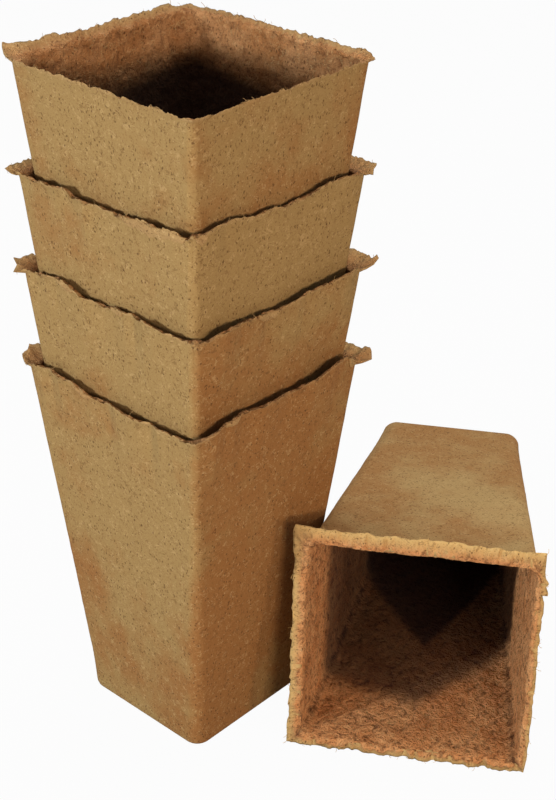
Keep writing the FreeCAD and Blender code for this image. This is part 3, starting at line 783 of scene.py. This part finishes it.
def peat_pulp():
    """Felted pulp: khaki and orange-brown clouds, dark flecks and pale fibres, rougher and browner in the
    cavity, and pale where it is torn. Painted into the colour are light on the sides in view, shade in the
    hollows and highlight on the tops of the relief, shade in the lying pot's cavity corners, and the dark
    deep in the cavities."""
    material = bpy.data.materials.new("peat_pulp")
    material.use_nodes = True
    tree = material.node_tree
    tree.nodes.clear()
    graph = Graph(tree)
    place = graph.node("ShaderNodeTexCoord", {}, {}, 3)

    def attribute(name):
        return graph.node("ShaderNodeAttribute", {"attribute_name": name}, {}, 2)

    inside, torn, dark, corner, freshness, painted_side_light_and_base_tone = (attribute(name) for name in (
        "inside", "torn", "dark", "corner", "freshness", "painted_side_light_and_base_tone"))
    tint = {name: rgba(*colour) for name, colour in PULP_COLOURS.items()}

    clouds = graph.noise(place, 16.0, 3.0)
    mottle = graph.noise(place, 70.0, 4.0, roughness=0.6)
    felt = graph.noise(place, 1300.0, 3.0, roughness=0.7)
    grain = graph.noise(place, 420.0)
    # The khaki share takes the painted side light, and is less khaki towards the base.
    khaki = (clouds * 0.65 + mottle * 0.35 - corner * corner * 0.05 + painted_side_light_and_base_tone).ramp(0.32, 0.56)
    dusty = graph.mixed(khaki, tint["orange"], tint["khaki"])
    fresh = graph.mixed(khaki, tint["fresh orange"], tint["fresh khaki"])
    colour = graph.mixed(freshness, dusty, fresh)
    lumps = graph.noise(place, 270.0, 4.0, roughness=0.7, distortion=0.4)
    hollow = graph.mixed(mottle.ramp(0.3, 0.7), tint["hollow brown"], tint["hollow tan"])
    fresh_hollow = graph.mixed(mottle.ramp(0.3, 0.7), tint["fresh hollow brown"], tint["fresh hollow tan"])
    colour = graph.mixed(inside, colour, graph.mixed(freshness, hollow, fresh_hollow))
    # Painted shade in the hollows and painted highlight on the knobs of the cavity's relief: both follow
    # the lumps that raise its bump.
    relief_shade = inside * (0.50 + freshness * 0.20)
    colour = graph.mixed(relief_shade * lumps.ramp(0.50, 0.34), colour, tint["pit shade"])
    colour = graph.mixed(relief_shade * lumps.ramp(0.56, 0.70) * 0.8, colour, tint["knob highlight"])
    torn_colour = graph.mixed(freshness, tint["torn"], tint["fresh torn"])
    colour = graph.mixed((torn * (0.45 + freshness * 0.3)).limited(), colour, torn_colour)

    scatter = graph.noise(place, 700.0, 1.0, output=1)
    jostled = graph.vector("ADD", place, graph.vector("MULTIPLY", scatter, (0.0014, 0.0014, 0.0014)))

    def flecks(scale, stretch, size, share):
        """Small specks, one in some of the cells of a net."""
        where = graph.vector("MULTIPLY", jostled, stretch)
        distance = graph.node("ShaderNodeTexVoronoi", {}, {"Vector": where, "Scale": scale})
        cell_colour = Line(graph, distance.socket.node.outputs["Color"])
        chosen = graph.node("ShaderNodeSeparateColor", {}, {0: cell_colour})
        return distance.ramp(size, size * 0.5) * chosen.math("LESS_THAN", share)

    def fibres(scale, patches, width):
        """Thin crooked fibres, in some patches only."""
        away = (graph.noise(place, scale, 1.0, distortion=1.5) - 0.5).math("ABSOLUTE")
        return away.ramp(width, width * 0.3) * graph.noise(place, patches, 1.0).ramp(0.52, 0.60)

    bark = flecks(740.0, (1.0, 1.0, 0.6), 0.33, 0.42)
    pale = flecks(700.0, (0.7, 1.2, 1.0), 0.28, 0.30)
    # Painted shade in the hollows of the felt's relief, and painted highlight on its tops: both follow the
    # felt noise that raises the bump. The same brown also colours the real dark fibres below.
    colour = graph.mixed(felt.ramp(0.46, 0.30) * 0.55, colour, tint["brown fibre and felt shade"])
    colour = graph.mixed(felt.ramp(0.56, 0.72) * 0.30, colour, tint["felt top highlight"])
    colour = graph.mixed(fibres(240.0, 330.0, 0.05) * 0.40, colour, tint["brown fibre and felt shade"])
    colour = graph.mixed(fibres(290.0, 300.0, 0.045) * 0.35, colour, tint["pale fibre"])
    colour = graph.mixed(bark * 0.70, colour, tint["bark fleck"])
    colour = graph.mixed(pale * 0.34, colour, tint["pale fleck"])
    # Painted shade in the corners of the lying pot's cavity, where its lumps sink.
    corner_shade = inside * freshness * corner.ramp(0.91, 0.99) * lumps.ramp(0.68, 0.42)
    colour = graph.mixed(corner_shade * 0.6, colour, tint["corner_shade"])
    # Painted shade: the colour is taken towards the dark colour by the stored dark share, deep in the
    # cavities and in the gaps between nested pots.
    colour = graph.mixed(dark * 0.95, colour, graph.mixed(freshness, tint["dark"], tint["fresh dark"]))

    relief = felt * 0.5 + grain * 0.5 + lumps * inside * 8.0
    bump = graph.node("ShaderNodeBump", {}, {"Strength": 0.8, "Distance": 0.0006, "Height": relief})
    skin = graph.node("ShaderNodeBsdfPrincipled", {}, {
        "Base Color": colour, "Roughness": 0.92, "Normal": bump, "Specular IOR Level": 0.15})
    out = tree.nodes.new("ShaderNodeOutputMaterial")
    tree.links.new(skin.socket, out.inputs["Surface"])
    return material


def camera():
    """The photograph's view: the distance to the picture and its height, in its pixels, then the turns
    and the place."""
    focal, picture_height = 1636.58, 800
    yaw, pitch, roll = -0.8455, -0.5139, -0.0198
    place = Vector((-436.37, -435.09, 501.71)) * MM
    lens = bpy.data.cameras.new("camera")
    lens.sensor_width = 36.0
    lens.lens = focal / picture_height * lens.sensor_width
    lens.clip_start = 0.01
    eye = bpy.data.objects.new("camera", lens)
    level = Matrix.Rotation(math.radians(90), 4, "X")
    turned = Matrix.Rotation(yaw, 4, "Z") @ Matrix.Rotation(pitch, 4, "X") @ Matrix.Rotation(roll, 4, "Y")
    eye.matrix_world = Matrix.Translation(place) @ turned @ level
    bpy.context.scene.collection.objects.link(eye)
    bpy.context.scene.camera = eye


def compass(azimuth, elevation):
    """The way to a compass direction, in degrees from +X, and a height above the floor."""
    a, e = math.radians(azimuth), math.radians(elevation)
    return Vector((math.cos(a) * math.cos(e), math.sin(a) * math.cos(e), math.sin(e)))


def soft_light(name, azimuth, elevation, distance, width, height, power, tint):
    """A soft box that faces the pots from a compass direction and a height above the floor."""
    light = bpy.data.lights.new(name, "AREA")
    light.shape = "RECTANGLE"
    light.size, light.size_y = width, height
    light.energy = power
    light.color = tint
    lamp = bpy.data.objects.new(name, light)
    away = compass(azimuth, elevation)
    lamp.location = Vector(LIGHTS_AIM) + away * distance
    lamp.rotation_mode = "QUATERNION"
    lamp.rotation_quaternion = away.to_track_quat("Z", "Y")
    bpy.context.scene.collection.objects.link(lamp)


def seen_white(graph, white_kind, other, share):
    """A share of white where the camera looks straight at it or by a reflection, and the other shader
    elsewhere."""
    path = graph.node("ShaderNodeLightPath", {}, {}).socket.node
    rays = [Line(graph, path.outputs["Is %s Ray" % kind]) for kind in ("Camera", "Glossy", "Transmission")]
    seen = (rays[0] + rays[1] + rays[2]).limited()
    white = graph.node(white_kind, {}, {"Color": (1.0, 1.0, 1.0, 1.0), "Strength": 1.0})
    return graph.node("ShaderNodeMixShader", {}, {0: seen * share, 1: other, 2: white})


def studio():
    """White all round, a white floor, and soft lights."""
    world = bpy.data.worlds.new("studio")
    bpy.context.scene.world = world
    world.use_nodes = True
    world.node_tree.nodes.clear()
    graph = Graph(world.node_tree)
    air = graph.node("ShaderNodeBackground", {}, {
        "Color": (1.0, 1.0, 1.0, 1.0), "Strength": AIR_STRENGTH})
    air = seen_white(graph, "ShaderNodeBackground", air, 1.0)
    out = world.node_tree.nodes.new("ShaderNodeOutputWorld")
    world.node_tree.links.new(air.socket, out.inputs["Surface"])

    corners = [(x * FLOOR_REACH, y * FLOOR_REACH, 0) for x, y in ((-1, -1), (1, -1), (1, 1), (-1, 1))]
    mesh = bpy.data.meshes.new("floor")
    mesh.from_pydata(corners, [], [(0, 1, 2, 3)])
    floor = bpy.data.objects.new("floor", mesh)
    floor.location.z = -FLOOR_GAP
    bpy.context.scene.collection.objects.link(floor)
    paper = bpy.data.materials.new("white_paper")
    paper.use_nodes = True
    paper.node_tree.nodes.clear()
    graph = Graph(paper.node_tree)
    matt = graph.node("ShaderNodeBsdfDiffuse", {}, {"Color": FLOOR_GREY})
    matt = seen_white(graph, "ShaderNodeEmission", matt, FLOOR_WHITE_SHARE)
    out = paper.node_tree.nodes.new("ShaderNodeOutputMaterial")
    paper.node_tree.links.new(matt.socket, out.inputs["Surface"])
    mesh.materials.append(paper)

    for name, settings in SOFT_LIGHTS.items():
        soft_light(name, *settings)


bpy.context.scene.view_settings.view_transform = "Standard"
camera()
studio()
pulp = peat_pulp()
tree = moulding_tree()
for seed, (pot, start, end, drop) in enumerate(LIP_STRIPS):
    lip_strip(pot, pulp, start, end, drop, seed)
for seed, pot in enumerate(TOWER, start=1):
    moulded_pot(pot, tree, pulp, seed, Matrix.Translation((0, 0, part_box(pot)[0].z)))
moulded_pot(LYING, tree, pulp, 5, lying_place(), freshness=1.0)
